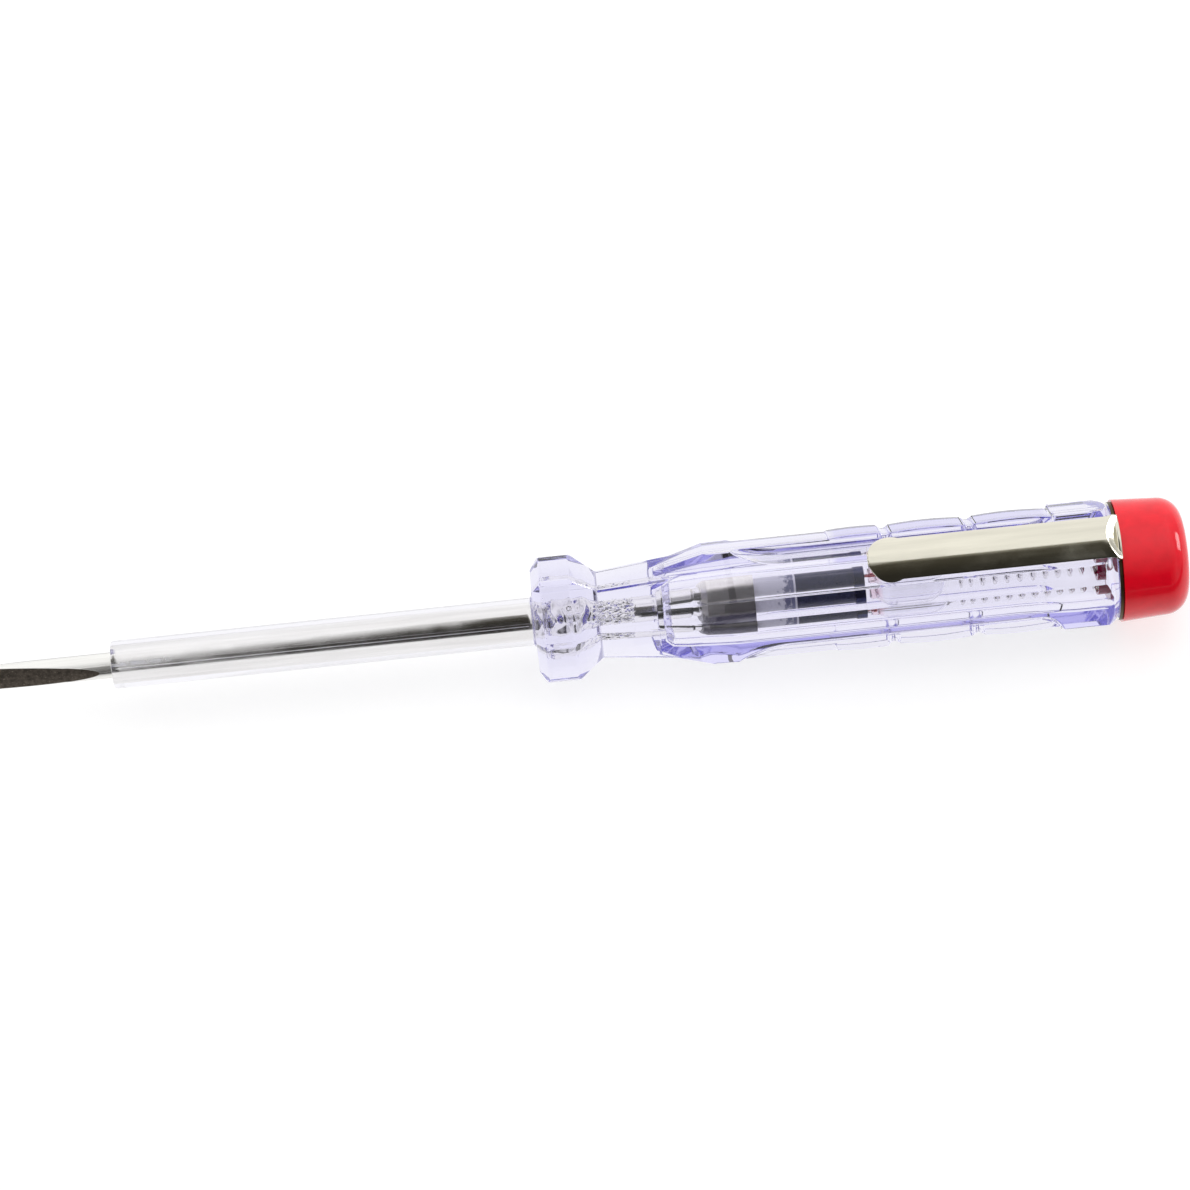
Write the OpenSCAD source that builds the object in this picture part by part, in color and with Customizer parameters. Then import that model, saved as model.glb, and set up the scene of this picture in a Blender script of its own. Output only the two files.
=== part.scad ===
// Voltage tester screwdriver: a slotted blade in a clear insulating sleeve, a clear hexagonal handle
// that holds a resistor, a glow lamp and a spring in one bore, a pocket clip and a screw-on end cap.
// The long axis lies on X, with the blade towards -X and the cap towards +X. X = 0 is where the sleeve
// enters the guard, and the clip stands on the +Z side.

/* [Blade] */
// Diameter of the round steel shank
blade_d = 3; // [2.5:0.1:3.5]
// Bare blade in front of the sleeve
blade_out = 15; // [12:0.5:18]
// Length of the two ground faces at the tip
grind_len = 13.5; // [10:0.5:14]
// Thickness of the screwdriver edge
tip_t = 0.6; // [0.4:0.1:1]
// Grooves of the knurl that anchors the shank in the handle
knurl_count = 12; // [8:1:16]

/* [Sleeve] */
// Outer diameter of the insulating sleeve
sleeve_d = 5.6; // [5:0.1:6]
// Sleeve in front of the guard
sleeve_out = 49; // [40:1:60]
// Depth of the sleeve's spigot in the guard
sleeve_seat = 1.6; // [1:0.1:2.5]
// Diameter of that spigot
spigot_d = 4.8; // [4.2:0.1:5]

/* [Handle] */
// Across flats of the handle's body, over two opposite side facets
body_af = 14.3; // [14:0.1:14.6]
// Turn of each side facet from the parting plane's edge
side_turn = 37; // [35:1:39]
// Diameter to which the two corners at the parting plane are turned
body_d = 16.3; // [16:0.1:16.5]
// Height of the rails above the parting plane
rail_h = 6.75; // [6.65:0.05:6.85]
// Across flats of the guard
guard_af = 13.1; // [12.8:0.1:13.4]
// Turn of the hexagon that the guard and the neck share
guard_turn = -8; // [-10:1:-6]
// Diameter to which the guard's corners are turned
guard_d = 14.6; // [14.2:0.1:15]
// Across flats of the neck behind the guard
neck_af = 8.85; // [8.7:0.05:9]
// Across flats of the neck where it meets the shoulder
neck_end_af = 10.05; // [9.9:0.05:10.2]
// Axial length of the whole handle moulding
handle_len = 67.7; // [67.6:0.1:69]
// Width of the two raised rails, which face the two mould halves
rail_w = 5.8; // [5:0.1:6.4]
// Height of the flute's inner edge above the parting plane
flute_h = 5.35; // [5.2:0.05:5.5]
// Slope of the flute's floor
flute_slope = 14; // [11:1:16]
// Depth of the finger notches across the rails
notch_depth = 0.45; // [0.3:0.05:0.6]

/* [Bore] */
// Diameter of the bore for the resistor, lamp and spring
bore_d = 6.4; // [6.2:0.1:6.6]
// Diameter of the threaded mouth of the bore
mouth_d = 7.3; // [7.2:0.1:7.6]
// Length of the threaded mouth
mouth_len = 4.7; // [4:0.1:5]
// Length over which the bore widens to the mouth
mouth_taper = 6.5; // [5:0.5:8]

/* [Resistor and lamp] */
// Diameter of the metal cap that meets the shank
contact_d = 5; // [4.6:0.1:5.6]
// Length of that metal cap
contact_len = 5.6; // [5:0.1:6]
// Diameter of the resistor's ceramic rod
resistor_d = 3.5; // [3.2:0.1:4]
// Outer diameter of the lamp's glass
lamp_d = 4.8; // [4.4:0.1:4.9]
// Thickness of the lamp's glass
lamp_wall = 0.45; // [0.35:0.05:0.6]
// Diameter of the lamp's two wires
wire_d = 0.3; // [0.25:0.05:0.35]

/* [Spring] */
// Diameter of the spring's wire
spring_wire = 0.45; // [0.4:0.05:0.5]
// Outer diameter of the spring
spring_d = 2.6; // [2.4:0.1:3]
// Number of curls
spring_curls = 12; // [10:1:13]
// Pitch of the two close curls at the lamp's end
close_pitch = 1.15; // [1.05:0.05:1.3]

/* [Clip] */
// Thickness of the clip's sheet metal
clip_t = 0.45; // [0.4:0.05:0.5]
// Width of the arm
clip_w = 4.9; // [4.5:0.1:5.2]
// Diameter of the rounded free end
clip_end_d = 5.4; // [5.2:0.1:5.8]
// Length of the arm from its bend to the free end
clip_len = 29.2; // [27:0.1:30]
// Outer radius of the arm's crowned section
crown_r = 5; // [4:0.5:7]
// How far the clip stands turned from the facet under it
clip_turn = 6; // [0:1:8]

/* [Cap] */
// Diameter of the cap at the handle
cap_d = 14.3; // [14:0.1:14.6]
// Length of the cap behind the clip's ring
cap_len = 7.9; // [7:0.1:9]
// Side taper of the cap
cap_taper = 3.4; // [2:0.1:4]
// Radius of the rounded rear edge
cap_round = 2.7; // [2:0.1:3]
// Length of the stem in the handle
stem_len = 2.1; // [2:0.1:2.5]
// Diameter of the stem in front of its thread
stem_d = 4.2; // [4:0.1:4.6]
// Thread pitch
thread_pitch = 0.9; // [0.8:0.1:1]
// Diameter of the metal stud that a finger touches
stud_d = 4; // [3:0.1:4.4]
// Diameter of the stud's front, which the spring presses on
stud_head_d = 2.8; // [2.7:0.1:3]

/* [Hidden] */
$fn = 96;
reach = 40;

// Stations along the axis
tip_x = -sleeve_out - blade_out;
guard_x = 0.3;
guard_chamfer = 1.05;
guard_face_af = 10.4;
guard_rim_end = 4.75;
neck_x = 7.8;
shoulder_x = 14.5;
body_x = 21.5;
rail_step_x = 35;
flute_x = [29.5, 58.6];
flute_run_r = [14, 3];
pads_end_x = 61;
notch_x = [41.6, 51.4];
bore_x = 15.6;
bore_cone = 0.9;
shank_end = 20.3;
contact_end = shank_end + contact_len;
rear_cap_end = 38.75;
rod_front = shank_end + 1.2;
rod_back = rear_cap_end - 0.3;
fold_x = rear_cap_end + wire_d / 2 + 0.15;
pinch_x = fold_x + wire_d / 2 + 0.05;
lamp_front = pinch_x + 0.3;
lamp_back = 48.2;
hook_x = lamp_back + wire_d / 2 + 0.1;
electrode_end = lamp_back - 1.8;
spring_front = hook_x + wire_d / 2;
spring_back = 66.2;
stud_head_end = spring_back + 0.5;
ring_x = handle_len + 0.03;
cap_x = ring_x + clip_t + 0.03;
cap_back = cap_x + cap_len;
clip_root_x = ring_x + clip_t;

// Fits of the stem in the handle's mouth and of the stud's head in the stem
stem_r = mouth_d / 2 - 0.08;
stem_bore_r = stud_head_d / 2 + 0.15;

// The rails face the mould's pull, with a side facet at this turn on either hand
facet_turn = 90 - side_turn;
pull_turn = -facet_turn;
tip_turn = 60;

// The crowned arm is part of a tube about this line above the axis
crown_top = body_af / 2 + 1.7;
crown_z = crown_top - crown_r;

module along_x(x) {
    translate([x, 0, 0])
        rotate([0, 90, 0])
            children();
}

// A disc turned on the axis from x with a given length
module turned(x, len, r) {
    along_x(x)
        cylinder(h = len, r = r);
}

module turned_cone(x, len, r1, r2) {
    along_x(x)
        cylinder(h = len, r1 = r1, r2 = r2);
}

// A hexagonal bar, with a corner on +Z when turn is 0, whose across flats runs from af1 to af2
module hex_bar(x, len, af1, af2, turn) {
    along_x(x)
        rotate([0, 0, turn])
            cylinder(h = len, d1 = af1 / cos(30), d2 = af2 / cos(30), $fn = 6);
}

// A flat cut whose distance from the axis runs from r1 to r2 over the length
module tapered_flat(x, len, r1, r2) {
    slope = atan((r2 - r1) / len);
    translate([x, 0, r1])
        rotate([0, -slope, 0])
            translate([-1, -reach / 2, 0])
                cube([len / cos(slope) + 2, reach, reach]);
}

// The body's six flats, two rails and four side facets, whose distances run from r1 to r2
module section_flats(x, len, r1, r2) {
    rail = 2 * rail_h / body_af;
    rotate([pull_turn, 0, 0])
        for (half = [0, 180]) {
            rotate([half, 0, 0])
                tapered_flat(x, len, r1 * rail, r2 * rail);
            for (side = [-1, 1])
                rotate([half + side * facet_turn, 0, 0])
                    tapered_flat(x, len, r1, r2);
        }
}

// Guard: a hexagon with flat chamfers in front, a flat-sided taper behind and turned corners
module guard() {
    rim_x = guard_x + guard_chamfer;
    back_slope = (guard_af - neck_af) / (neck_x - guard_rim_end);
    back_lap = 0.3;
    turned(0, rim_x, sleeve_d / 2 + 0.2);
    intersection() {
        union() {
            hex_bar(guard_x, guard_chamfer, guard_face_af, guard_af, guard_turn);
            hex_bar(rim_x, guard_rim_end - rim_x, guard_af, guard_af, guard_turn);
            hex_bar(guard_rim_end, neck_x - guard_rim_end + back_lap, guard_af,
                neck_af - back_slope * back_lap, guard_turn);
        }
        turned(0, neck_x + 1, guard_d / 2);
    }
}

// Neck: a tapered hexagon that ends inside the shoulder
module neck() {
    neck_slope = (neck_end_af - neck_af) / (shoulder_x - neck_x);
    start_x = guard_rim_end + 1;
    end_x = shoulder_x + 5;
    hex_bar(start_x, end_x - start_x, neck_af - neck_slope * (neck_x - start_x),
        neck_end_af + neck_slope * (end_x - shoulder_x), guard_turn);
}

// Shoulder and body: one turned blank, with flats that widen over the shoulder and then run straight
module body() {
    edge_r = 1.6;
    shoulder_r = 5.3;
    corner = body_d / body_af;
    difference() {
        union() {
            turned_cone(shoulder_x, body_x - shoulder_x, shoulder_r * corner, body_d / 2);
            turned(body_x, handle_len - body_x - edge_r, body_d / 2);
            turned_cone(handle_len - edge_r, edge_r, body_d / 2, body_d / 2 - edge_r);
        }
        section_flats(shoulder_x, body_x - shoulder_x, shoulder_r, body_af / 2);
        section_flats(body_x, handle_len - body_x, body_af / 2, body_af / 2);
    }
}

// One flute beside a rail: a straight wall and a sloped floor that runs out in a round at both ends
module flute() {
    intersection() {
        translate([shoulder_x, rail_w / 2, 0])
            cube([handle_len, reach, reach]);
        translate([0, rail_w / 2, flute_h])
            rotate([-flute_slope, 0, 0]) {
                translate([flute_x[0], -reach / 2, 0])
                    cube([flute_x[1] - flute_x[0], reach, reach]);
                for (end = [0, 1])
                    translate([flute_x[end], -reach / 2, flute_run_r[end]])
                        rotate([-90, 0, 0])
                            cylinder(h = reach, r = flute_run_r[end]);
            }
    }
}

// Each rail is lower in front, and two round notches part three crowned finger pads behind
module rail_cuts() {
    step_depth = 0.25;
    notch_r = 0.75;
    pad_r = 45;
    top = rail_h;
    pad_ends = concat([rail_step_x], notch_x, [pads_end_x]);
    translate([shoulder_x, -rail_w, top - step_depth])
        cube([rail_step_x - shoulder_x, 2 * rail_w, reach / 4]);
    for (i = [0:2])
        difference() {
            translate([pad_ends[i], -rail_w, top - step_depth])
                cube([pad_ends[i + 1] - pad_ends[i], 2 * rail_w, reach / 4]);
            translate([(pad_ends[i] + pad_ends[i + 1]) / 2, -rail_w - 1, top - pad_r])
                rotate([-90, 0, 0])
                    cylinder(h = 2 * rail_w + 2, r = pad_r);
        }
    for (x = notch_x) {
        translate([x, -rail_w, top + notch_r - notch_depth])
            rotate([-90, 0, 0])
                cylinder(h = 2 * rail_w, r = notch_r);
        for (side = [-1, 1])
            translate([x, side * (rail_w / 2 + notch_r - notch_depth), flute_h])
                cylinder(h = reach / 4, r = notch_r);
    }
}

module handle() {
    color("lavender", 0.5)
        difference() {
            union() {
                guard();
                neck();
                body();
            }
            turned(-1, 1 + sleeve_seat, spigot_d / 2);
            turned(0, bore_x + 1, blade_d / 2);
            turned_cone(bore_x, bore_cone, bore_d / 2 - bore_cone, bore_d / 2);
            turned(bore_x + bore_cone, handle_len - bore_x, bore_d / 2);
            turned_cone(handle_len - mouth_len - mouth_taper, mouth_taper, bore_d / 2, mouth_d / 2);
            turned(handle_len - mouth_len, mouth_len + 1, mouth_d / 2);
            rotate([pull_turn, 0, 0])
                for (face = [0, 1], side = [0, 1])
                    mirror([0, 0, face])
                        mirror([0, side, 0])
                            flute();
            rotate([pull_turn, 0, 0])
                for (face = [0, 1])
                    mirror([0, 0, face])
                        rail_cuts();
        }
}

module blade() {
    groove_w = 0.35;
    groove_depth = 0.25;
    knurl_x = [2.5, 12];
    ring_groove_x = 19.2;
    half = blade_d / 2;
    slope = atan((half - tip_t / 2) / grind_len);
    color("silver")
        difference() {
            turned(tip_x, shank_end - tip_x, half);
            // Two ground faces that close on the edge
            rotate([tip_turn, 0, 0])
                for (face = [0, 1])
                    mirror([0, 0, face])
                        translate([tip_x, 0, tip_t / 2])
                            rotate([0, -slope, 0])
                                translate([-1, -half - 1, 0])
                                    cube([grind_len + 3, blade_d + 2, reach / 4]);
            // Knurl inside the guard and neck
            for (i = [0:knurl_count - 1])
                rotate([360 / knurl_count * i, 0, 0])
                    translate([knurl_x[0], -groove_w / 2, half - groove_depth])
                        cube([knurl_x[1] - knurl_x[0], groove_w, 1]);
            // Ring groove near the rear end
            difference() {
                turned(ring_groove_x, groove_w, half + 1);
                turned(ring_groove_x, groove_w, half - groove_depth);
            }
        }
}

module blade_sleeve() {
    color("whitesmoke", 0.5)
        difference() {
            union() {
                turned(-sleeve_out, sleeve_out, sleeve_d / 2);
                turned(-sleeve_out, sleeve_out + sleeve_seat, spigot_d / 2);
            }
            turned(-sleeve_out - 1, sleeve_out + sleeve_seat + 2, blade_d / 2);
        }
}

module front_contact_cap() {
    edge = 0.5;
    color("gray")
        difference() {
            union() {
                turned_cone(shank_end, edge, contact_d / 2 - edge, contact_d / 2);
                turned(shank_end + edge, contact_len - edge, contact_d / 2);
            }
            turned(rod_front, contact_len, resistor_d / 2);
        }
}

module resistor_rod() {
    color("midnightblue")
        turned(rod_front, rod_back - rod_front, resistor_d / 2);
}

module rear_contact_cap() {
    lap = 0.9;
    wall = 0.2;
    color("silver")
        difference() {
            turned(rod_back - lap, rear_cap_end - rod_back + lap, resistor_d / 2 + wall);
            turned(rod_back - lap - 1, lap + 1, resistor_d / 2);
        }
}

// The wires cross the glass at the pinch, half this far from the axis on each side
wire_offset = 0.8;
wire_turn = 204;

// A round-ended glass bulb of radius r between two stations
module bulb(x1, x2, r) {
    turned(x1 + r, x2 - x1 - 2 * r, r);
    for (x = [x1 + r, x2 - r])
        translate([x, 0, 0])
            sphere(r = r);
}

module lamp_glass() {
    pinch_r = 1.5;
    r = lamp_d / 2;
    color("aliceblue", 0.4)
        difference() {
            union() {
                bulb(lamp_front, lamp_back, r);
                turned(pinch_x, r, pinch_r);
            }
            bulb(lamp_front + 2 * lamp_wall, lamp_back - lamp_wall, r - lamp_wall);
            rotate([wire_turn, 0, 0])
                for (side = [-1, 1])
                    translate([0, 0, side * wire_offset])
                        turned(pinch_x - 1, r + 1, wire_d / 2);
        }
}

module lamp_electrode_front() {
    color("dimgray")
        rotate([wire_turn, 0, 0])
            translate([0, 0, -wire_offset])
                turned(rear_cap_end, electrode_end - rear_cap_end, wire_d / 2);
}

// The second wire leaves the pinch, folds back along the glass and hooks over its rear end
module lamp_electrode_return() {
    fold_r = bore_d / 2 - wire_d / 2 - 0.1;
    r = wire_d / 2;
    color("dimgray")
        rotate([wire_turn, 0, 0]) {
            translate([0, 0, wire_offset])
                turned(fold_x, electrode_end - fold_x, r);
            translate([fold_x, 0, wire_offset])
                cylinder(h = fold_r - wire_offset, r = r);
            translate([0, 0, fold_r])
                turned(fold_x, hook_x - fold_x, r);
            translate([hook_x, 0, 0])
                cylinder(h = fold_r, r = r);
            for (corner = [[fold_x, wire_offset], [fold_x, fold_r], [hook_x, fold_r], [hook_x, 0]])
                translate([corner[0], 0, corner[1]])
                    sphere(r = r);
        }
}

// Spring: its path is a helix with two close curls in front, and straight ends
curl_steps = 8;
wire_sides = 6;
coil_r = (spring_d - spring_wire) / 2;
close_curls = 2;
spring_lead = spring_wire;
open_pitch = (spring_back - spring_front - 2 * spring_lead - close_curls * close_pitch)
    / (spring_curls - close_curls);

function spring_rise(turn) =
    min(turn, close_curls) * close_pitch + max(turn - close_curls, 0) * open_pitch;

// A point on the coil's radius, counted in turns from the lamp's hooked wire
function coil_point(x, turn) =
    let (angle = 90 + wire_turn + 360 * turn)
    [x, coil_r * cos(angle), coil_r * sin(angle)];

spring_path = concat(
    [coil_point(spring_front, 0)],
    [for (i = [0:spring_curls * curl_steps])
        let (turn = i / curl_steps)
        coil_point(spring_front + spring_lead + spring_rise(turn), turn)],
    [coil_point(spring_back, spring_curls)]);

function unit(v) = v / norm(v);

function path_tangent(path, i) =
    unit(path[min(i + 1, len(path) - 1)] - path[max(i - 1, 0)]);

// Ring of points round path point i, turned so that one side always faces away from the axis
function wire_ring(path, i) =
    let (
        t = path_tangent(path, i),
        side = unit(cross(t, [0, path[i][1], path[i][2]])),
        out = cross(side, t)
    )
    [for (k = [0:wire_sides - 1])
        path[i] + spring_wire / 2 * (cos(360 * k / wire_sides) * out + sin(360 * k / wire_sides) * side)];

// Least gap between turns, measured on path points that lie at least half a curl apart
spring_gap = min([for (i = [0:len(spring_path) - 1], j = [i + curl_steps / 2:len(spring_path) - 1])
    if (j < len(spring_path)) norm(spring_path[i] - spring_path[j])]) - spring_wire;
echo(spring_least_gap_mm = spring_gap);

module spring() {
    n = len(spring_path);
    s = wire_sides;
    points = [for (i = [0:n - 1]) each wire_ring(spring_path, i)];
    walls = [for (i = [0:n - 2], k = [0:s - 1])
        let (a = i * s + k, b = i * s + (k + 1) % s)
        each [[a, b, a + s], [b, b + s, a + s]]];
    front = [for (k = [1:s - 2]) [0, k + 1, k]];
    back = [for (k = [1:s - 2]) [(n - 1) * s, (n - 1) * s + k, (n - 1) * s + k + 1]];
    color("silver")
        polyhedron(points = points, faces = concat(walls, front, back));
}

module clip_frame() {
    rotate([clip_turn, 0, 0])
        children();
}

// Ring clamped between handle and cap, with the tab that the arm grows from
module clip_ring() {
    ring_r = body_af / 2 - 0.25;
    bend_gap = 0.1;
    color("silver")
        clip_frame()
            difference() {
                union() {
                    turned(ring_x, clip_t, ring_r);
                    intersection() {
                        translate([ring_x, -clip_w / 2, 0])
                            cube([clip_t, clip_w, crown_top]);
                        translate([0, 0, crown_z])
                            turned(ring_x, clip_t, crown_r - clip_t - bend_gap);
                    }
                }
                turned(ring_x - 1, clip_t + 2, mouth_d / 2 + 0.1);
            }
}

// Plan of the arm: a strip with a wider rounded free end
module clip_plan() {
    round_x = clip_root_x - clip_len + clip_end_d / 2;
    translate([round_x, -clip_w / 2])
        square([clip_root_x - round_x, clip_w]);
    translate([round_x, 0])
        circle(d = clip_end_d);
}

module clip_arm() {
    color("silver")
        clip_frame()
            intersection() {
                translate([0, 0, crown_z])
                    difference() {
                        turned(clip_root_x - clip_len, clip_len, crown_r);
                        turned(clip_root_x - clip_len - 1, clip_len + 2, crown_r - clip_t);
                    }
                translate([0, 0, crown_z])
                    linear_extrude(height = reach)
                        clip_plan();
            }
}

// Half section of the cap: a tapered side that runs tangent into the rounded rear edge
module cap_profile() {
    front_r = cap_d / 2;
    round_x = cap_len - cap_round;
    round_r = front_r - (cap_round + round_x * sin(cap_taper)) / cos(cap_taper);
    polygon([[0, 0], [front_r, 0],
        [round_r + cap_round * cos(cap_taper), round_x + cap_round * sin(cap_taper)],
        [round_r, cap_len], [0, cap_len]]);
    translate([round_r, round_x])
        circle(r = cap_round);
}

// Cap with a hollow stem that holds the end of the spring, threaded next to the cap
module end_cap() {
    crest = 0.25;
    stem_x = handle_len - stem_len;
    thread_x = handle_len - thread_pitch;
    color("red")
        difference() {
            union() {
                along_x(cap_x)
                    rotate_extrude()
                        cap_profile();
                turned(stem_x, cap_x - stem_x, stem_d / 2);
                turned(thread_x, cap_x - thread_x, stem_r - crest);
                turned(thread_x, thread_pitch / 2, stem_r);
            }
            turned(stem_x - 1, stud_head_end - stem_x + 1, stem_bore_r);
            turned(stem_x, cap_x - stem_x + 1, stud_head_d / 2 - 0.15);
            turned(cap_x, cap_len + 1, stud_d / 2);
        }
}

module touch_stud() {
    color("silver") {
        turned(spring_back, stud_head_end - spring_back, stud_head_d / 2);
        turned(spring_back, cap_back - spring_back, stud_head_d / 2 - 0.15);
        turned(cap_x, cap_len, stud_d / 2);
    }
}

handle();
blade();
blade_sleeve();
front_contact_cap();
resistor_rod();
rear_contact_cap();
lamp_glass();
lamp_electrode_front();
lamp_electrode_return();
spring();
clip_ring();
clip_arm();
end_cap();
touch_stud();
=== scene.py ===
import math

import bmesh
import bpy
from bpy.props import FloatProperty, FloatVectorProperty, IntProperty, PointerProperty
from mathutils import Matrix, Vector, noise


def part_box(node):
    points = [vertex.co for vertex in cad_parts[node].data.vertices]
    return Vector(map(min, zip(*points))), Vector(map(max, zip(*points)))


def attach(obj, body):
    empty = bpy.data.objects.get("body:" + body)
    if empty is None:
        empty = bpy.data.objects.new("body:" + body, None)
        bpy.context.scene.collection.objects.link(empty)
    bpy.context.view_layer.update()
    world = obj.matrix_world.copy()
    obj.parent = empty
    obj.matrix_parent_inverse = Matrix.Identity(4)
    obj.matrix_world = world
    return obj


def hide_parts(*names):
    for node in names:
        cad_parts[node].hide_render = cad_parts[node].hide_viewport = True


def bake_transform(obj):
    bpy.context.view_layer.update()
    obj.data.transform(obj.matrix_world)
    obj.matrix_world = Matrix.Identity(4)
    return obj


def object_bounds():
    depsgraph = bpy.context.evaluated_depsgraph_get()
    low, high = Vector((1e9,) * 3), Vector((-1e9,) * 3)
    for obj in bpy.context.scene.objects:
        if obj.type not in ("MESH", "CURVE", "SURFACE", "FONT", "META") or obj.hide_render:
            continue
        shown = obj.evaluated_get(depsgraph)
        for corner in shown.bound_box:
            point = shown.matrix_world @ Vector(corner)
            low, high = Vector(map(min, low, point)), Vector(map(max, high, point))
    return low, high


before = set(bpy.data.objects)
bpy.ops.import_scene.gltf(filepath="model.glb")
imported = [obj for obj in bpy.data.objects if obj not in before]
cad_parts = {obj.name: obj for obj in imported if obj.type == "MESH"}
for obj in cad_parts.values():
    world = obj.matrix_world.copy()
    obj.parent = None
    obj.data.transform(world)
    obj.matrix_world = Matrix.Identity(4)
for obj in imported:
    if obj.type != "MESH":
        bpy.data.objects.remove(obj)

bl_info = {
    "name": "Voltage tester finishes",
    "version": (1, 0, 0),
    "blender": (4, 5, 0),
    "location": "View3D > Sidebar > Tester",
    "description": "Models and finishes the pieces of a voltage tester screwdriver on its solid parts",
    "category": "Object",
}

MM = 0.001
CAD_BOX = [list(corner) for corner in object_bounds()]
SHANK_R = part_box("blade")[1].y
SLEEVE_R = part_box("blade_sleeve")[1].y
SLEEVE_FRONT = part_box("blade_sleeve")[0].x
SLEEVE_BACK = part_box("blade_sleeve")[1].x
TIP_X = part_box("blade")[0].x
SHANK_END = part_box("blade")[1].x
HANDLE_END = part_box("handle")[1].x
FLOOR_Z = CAD_BOX[0][2] - 0.2 * MM

# Turns about the long axis, in degrees from the top towards the front
CLIP_TURN = 6
PARTING_TURN = 37.5
RAIL_TURN = -53
WIRE_TURN = 204

# Stations along the tool, in millimetres from the guard's front
WINGS = (1.3, 6.4)
KNURL_END = 12.0
GROOVE_X = 19.2
SHOULDER_BEND = 21.5
STEM_END = 68.0


# Properties

def length(label, description, millimetres):
    """A length, given in millimetres."""
    return FloatProperty(
        name=label, description=description, default=millimetres * MM, unit="LENGTH", precision=6)


def angle(label, description, degrees):
    """An angle, given in degrees."""
    return FloatProperty(
        name=label, description=description, default=math.radians(degrees), subtype="ANGLE")


def colour(label, description, *linear):
    """A colour, scene linear."""
    return FloatVectorProperty(
        name=label, description=description, default=linear, subtype="COLOR", size=3, min=0, max=1)


class TesterSizes(bpy.types.PropertyGroup):
    """Sizes of the details that the solids leave plain."""

    edge_round: length("Edge rounding", "Width of the rounded edges of the clear handle", 0.16)
    shoulder_round: length("Shoulder rounding", "Width of the rounded bend behind the shoulder", 2.4)
    hidden_wall: length(
        "Hidden wall", "Radius of the plastic's inner wall, hidden inside the steel shank", 1.15)
    grind_len: length("Ground length", "Length of the blade's two ground faces", 13.5)
    tip_thickness: length("Edge thickness", "Thickness of the blade at its edge", 0.6)
    tip_turn: angle("Blade turn", "Turn of the ground faces about the long axis", 60)
    knurl_depth: length("Knurl depth", "Depth of the diamond knurl on the moulded-in shank", 0.22)
    wing_height: length("Wing height", "How far the crumpled steel stands out inside the guard", 0.55)
    glass_wall: length("Glass wall", "Thickness of the lamp's glass", 0.14)
    spring_wire: length("Spring wire", "Diameter of the spring's wire", 0.45)
    spring_radius: length("Spring radius", "Radius of the spring's coil at the middle of its wire", 1.075)
    spring_curls: IntProperty(name="Spring curls", description="Number of curls", default=12, min=4)
    close_pitch: length("Close pitch", "Pitch of the two close curls at the lamp", 1.15)
    clip_sheet: length("Clip sheet", "Thickness of the clip's sheet metal", 0.45)
    clip_width: length("Clip width", "Width of the clip's arm", 4.9)
    clip_end: length("Clip end", "Diameter of the clip's rounded free end", 5.4)


class TesterColours(bpy.types.PropertyGroup):
    """Colours of the finishes."""

    handle_tint: colour("Handle tint", "Colour that the clear handle lets through", 0.70, 0.675, 0.94)
    # Painted shade: this lilac is painted on the pad tops for the deeper tone that light reflected inside
    # the plastic takes on there.
    pad_top_painted_shade: colour("Pad tint", "Deeper lilac on the tops of the grip pads", 0.56, 0.53, 0.87)
    sleeve_tint: colour("Sleeve tint", "Colour that the clear sleeve lets through", 0.80, 0.79, 0.93)
    flash: colour("Flash", "Milky plastic of the fine line on the sleeve's parting", 0.62, 0.61, 0.66)
    steel: colour("Steel", "Bright steel of the shank", 0.93, 0.915, 0.885)
    ground_steel: colour("Ground steel", "Dull steel of the ground tip", 0.105, 0.088, 0.072)
    nickel: colour("Nickel", "Nickel plate of the clip", 0.79, 0.76, 0.65)
    cut_edge: colour("Cut edge", "Raw cut edge of the clip's ring", 0.10, 0.072, 0.034)
    cup: colour("Contact cup", "Satin metal of the contact cups", 0.93, 0.90, 0.80)
    film: colour("Resistor film", "Dark film of the resistor", 0.022, 0.024, 0.055)
    ceramic: colour("Ceramic", "Bare ceramic of the resistor's rod", 0.72, 0.72, 0.74)
    seal: colour("Lamp seal", "Copper-clad wire where it passes the lamp's glass", 0.55, 0.16, 0.16)
    # Painted shade: the stem is moulded with the cap from the same red plastic; its darker, more magenta red
    # is painted where it sits inside the handle.
    stem: colour("Cap stem", "Greased, darker plastic of the cap's threaded stem", 0.30, 0.006, 0.05)
    cap: colour("Cap", "Red plastic of the end cap", 0.78, 0.003, 0.016)


class TesterStage(bpy.types.PropertyGroup):
    """Camera, floor and light."""

    elevation: angle("Elevation", "Height of the camera's view above the floor", 63.4)
    roll: angle("Roll", "How far the tool rises to the right in the picture", 5.935)
    distance: length("Distance", "Camera to the tool's axis", 511.6)
    lens: FloatProperty(
        name="Lens", description="Focal length on a 36 mm sensor, in millimetres", default=133.1)
    aim_x: length("Aim", "Station of the axis at the picture's centre", 7.59)
    aim_up: length("Aim above", "How far the picture's centre lies above the axis", 2.29)


# Mesh helpers

def pick(piece):
    """Leaves one object selected and active."""
    bpy.ops.object.select_all(action="DESELECT")
    piece.select_set(True)
    bpy.context.view_layer.objects.active = piece


def named(name):
    """Names the object that was just added, and returns it."""
    piece = bpy.context.object
    piece.name = name
    return piece


def enter_edit():
    """Opens the active object's mesh."""
    bpy.ops.object.mode_set(mode="EDIT")


def leave_edit():
    """Closes the active object's mesh."""
    bpy.ops.object.mode_set(mode="OBJECT")


def select_mesh():
    """Selects the whole open mesh."""
    bpy.ops.mesh.select_all(action="SELECT")


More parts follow.
